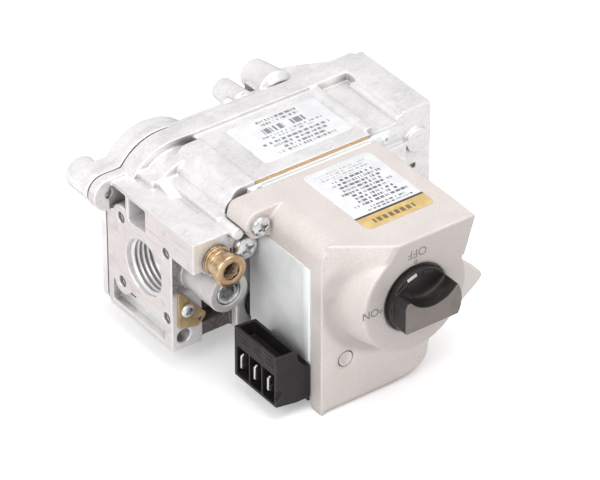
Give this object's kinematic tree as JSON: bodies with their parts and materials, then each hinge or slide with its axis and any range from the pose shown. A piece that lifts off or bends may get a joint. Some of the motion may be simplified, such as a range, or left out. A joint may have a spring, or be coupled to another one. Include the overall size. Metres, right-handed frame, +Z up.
{
  "type": "gas valve",
  "caption": "Combination gas control valve: cast body with flanged threaded ports, solenoid control housing, rotary on/off knob, regulator and brass pilot outlet.",
  "frame": {"origin": "centre of the inlet port on the inlet flange face", "axes": "+X along the gas path from inlet to outlet, -Y towards the knob, +Z up (labels face up)"},
  "size_m": [0.1155, 0.1284, 0.0729],
  "materials": {
    "cast_aluminium": "as-cast and tumbled, machined on the flange faces",
    "seam_gasket": "thin dark fibre sheet",
    "zinc_steel": "bright zinc plate",
    "rubber": "moulded nitrile",
    "bright_steel": "turned, lightly oiled",
    "spring_steel": "drawn wire",
    "tan_gasket": "tan fibre gasket sheet",
    "zinc_plate": "pale blue passivated zinc",
    "housing_grey": "warm grey, finely speckled matte",
    "black_plastic": "moulded, satin",
    "knob_black": "moulded charcoal, fine texture",
    "tinned_tabs": "tin plate",
    "coil_tape": "varnished coil wrap",
    "rotor_resin": "acetal, greased",
    "brass": "turned, slightly aged",
    "ground_brass": "stamped, dull",
    "label_white": null,
    "label_safety": "printed film with a plain yellow band"
  },
  "bodies": {
    "root": {"valve_body": "cast_aluminium", "rear_cover": "cast_aluminium", "rear_gasket": "seam_gasket", "rear_cover_screws": "zinc_steel", "main_diaphragm": "rubber", "main_valve_spring": "spring_steel", "control_gasket": "tan_gasket", "control_plate": "zinc_plate", "control_plate_screws": "zinc_steel", "control_housing": "housing_grey", "housing_screws": "zinc_steel", "side_plate": "zinc_plate", "terminal_block": "black_plastic", "terminal_tabs": "tinned_tabs", "solenoid_frames": "zinc_plate", "solenoid_bobbins": "black_plastic", "solenoid_windings": "coil_tape", "solenoid_cores": "bright_steel", "first_plunger_spring": "spring_steel", "second_plunger_spring": "spring_steel", "shaft_bushing": "brass", "shaft_oring": "rubber", "regulator_sleeve": "cast_aluminium", "regulator_spring": "spring_steel", "regulator_diaphragm": "rubber", "regulator_cap": "housing_grey", "pilot_fitting": "brass", "pilot_nut": "brass", "pilot_ferrule": "brass", "pilot_adjust_cap": "zinc_steel", "inlet_tap_plug": "bright_steel", "outlet_tap_plug": "bright_steel", "ground_plate": "ground_brass", "ground_screw": "zinc_steel", "inlet_screen": "bright_steel", "rating_label": "label_white", "safety_label": "label_safety"},
    "main_valve": {"main_valve_stem": "bright_steel", "main_valve_disc": "rubber", "diaphragm_plate": "bright_steel"},
    "manual_shaft": {"knob_shaft": "bright_steel", "manual_valve_rotor": "rotor_resin", "knob_spring_clip": "bright_steel", "knob_spring": "spring_steel"},
    "knob": {"knob": "knob_black"},
    "first_plunger": {"first_plunger": "bright_steel", "first_seat_disc": "rubber"},
    "second_plunger": {"second_plunger": "bright_steel", "second_seat_disc": "rubber"},
    "regulator_carrier": {"regulator_upper_seat": "bright_steel"},
    "regulator_screw": {"regulator_adjusting_screw": "brass"},
    "regulator_poppet": {"regulator_poppet": "bright_steel"},
    "pilot_seal": {"pilot_needle_oring": "rubber"},
    "pilot_needle": {"pilot_adjust_screw": "brass"}
  },
  "joints": [
    {"name": "main_valve_lift", "type": "slide", "parent": "root", "child": "main_valve", "axis": [0, 1, 0], "range_m": [0, 0.0032], "deforming": ["main_valve_spring", "main_diaphragm"]},
    {"name": "knob_turn", "type": "hinge", "parent": "root", "child": "manual_shaft", "pos_m": [0.0548, 0, 0.0112], "axis": [0, -1, 0], "range_deg": [0, 90]},
    {"name": "knob_push", "type": "slide", "parent": "manual_shaft", "child": "knob", "axis": [0, 1, 0], "range_m": [0, 0.0015], "deforming": ["knob_spring"]},
    {"name": "first_plunger_slide", "type": "slide", "parent": "root", "child": "first_plunger", "axis": [0, -1, 0], "range_m": [0, 0.002], "deforming": ["first_plunger_spring"]},
    {"name": "second_plunger_slide", "type": "slide", "parent": "root", "child": "second_plunger", "axis": [0, -1, 0], "range_m": [0, 0.002], "deforming": ["second_plunger_spring"]},
    {"name": "regulator_advance", "type": "slide", "parent": "root", "child": "regulator_carrier", "axis": [0, 1, 0], "range_m": [-0.002, 0.002], "deforming": ["regulator_spring"]},
    {"name": "regulator_turn", "type": "hinge", "parent": "regulator_carrier", "child": "regulator_screw", "pos_m": [0.037, 0, -0.0153], "axis": [0, 1, 0], "range_deg": [-720, 720]},
    {"name": "regulator_float", "type": "slide", "parent": "root", "child": "regulator_poppet", "axis": [0, -1, 0], "range_m": [0, 0.0004], "deforming": ["regulator_diaphragm"]},
    {"name": "pilot_advance", "type": "slide", "parent": "root", "child": "pilot_seal", "axis": [0, 1, 0], "range_m": [-0.0005, 0.0005]},
    {"name": "pilot_turn", "type": "hinge", "parent": "pilot_seal", "child": "pilot_needle", "pos_m": [0.0212, 0, 0.0168], "axis": [0, 1, 0], "range_deg": [-360, 360]}
  ],
  "couplings": [
    {"joint": "regulator_turn", "follows": "regulator_advance", "rad_per_m": 6283.2},
    {"joint": "pilot_turn", "follows": "pilot_advance", "rad_per_m": 12566}
  ]
}
